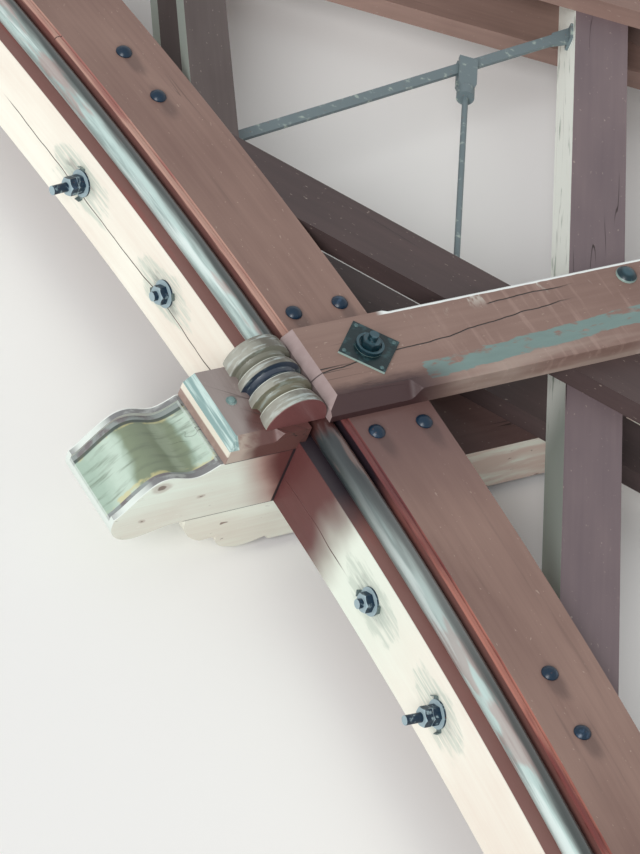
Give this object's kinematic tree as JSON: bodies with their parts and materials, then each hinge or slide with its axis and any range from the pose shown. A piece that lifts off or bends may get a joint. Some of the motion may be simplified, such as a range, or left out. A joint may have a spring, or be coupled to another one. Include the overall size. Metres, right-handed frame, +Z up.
{
  "type": "wooden roof truss",
  "caption": "Arched timber roof truss: a curved rib under two rafters, clasped by radial plank pairs with carved bracket heads, turned collars and iron bolts.",
  "frame": {"origin": "on the floor under the middle of the truss's outline, the truss lying on its far face", "axes": "+X along the span to the right, +Y from the feet to the ridge, +Z up through the thickness to the near face"},
  "size_m": [26.1574, 14.845, 0.559],
  "materials": {
    "bar_iron": "dark paint on flat bar iron",
    "bolt_steel": "dark blue-black painted bolts, nuts and washers",
    "brown_timber": "aged matt red-brown oil paint on sawn timber",
    "cream_timber": "cream oil paint, worn, on planed timber",
    "green_moulding": "streaked pale green oil paint on a round moulding",
    "olive_turning": "worn olive-grey and cream paint on turned wood"
  },
  "bodies": {
    "root": {"clasp_bolts_crown_left": "bolt_steel", "clasp_bolts_crown_right": "bolt_steel", "clasp_bolts_haunch_left": "bolt_steel", "clasp_bolts_haunch_right": "bolt_steel", "clasp_bolts_king": "bolt_steel", "eave_beams_left": "brown_timber", "eave_beams_right": "brown_timber", "eave_braces_left": "brown_timber", "eave_braces_right": "brown_timber", "eave_post_left": "brown_timber", "eave_post_right": "brown_timber", "eave_struts_left": "brown_timber", "eave_struts_right": "brown_timber", "edge_rolls_left": "green_moulding", "edge_rolls_right": "green_moulding", "far_plank_crown_left": "cream_timber", "far_plank_crown_right": "cream_timber", "far_plank_haunch_left": "cream_timber", "far_plank_haunch_right": "cream_timber", "far_plank_king": "cream_timber", "flat_bar_left": "bar_iron", "flat_bar_right": "bar_iron", "hanger_rod_left": "bar_iron", "hanger_rod_right": "bar_iron", "head_caps": "cream_timber", "head_crown_left": "cream_timber", "head_crown_right": "cream_timber", "head_haunch_left": "cream_timber", "head_haunch_right": "cream_timber", "head_king": "cream_timber", "near_plank_crown_left": "brown_timber", "near_plank_crown_right": "brown_timber", "near_plank_haunch_left": "brown_timber", "near_plank_haunch_right": "brown_timber", "near_plank_king": "brown_timber", "rafter_left": "brown_timber", "rafter_right": "brown_timber", "rib_bolts_left": "bolt_steel", "rib_bolts_right": "bolt_steel", "rib_crown_left": "brown_timber", "rib_crown_right": "brown_timber", "rib_foot_left": "brown_timber", "rib_foot_right": "brown_timber", "rib_haunch_left": "brown_timber", "rib_haunch_right": "brown_timber", "rib_radial_bolts_left": "bolt_steel", "rib_radial_bolts_right": "bolt_steel", "turned_collars": "olive_turning"}
  },
  "joints": []
}
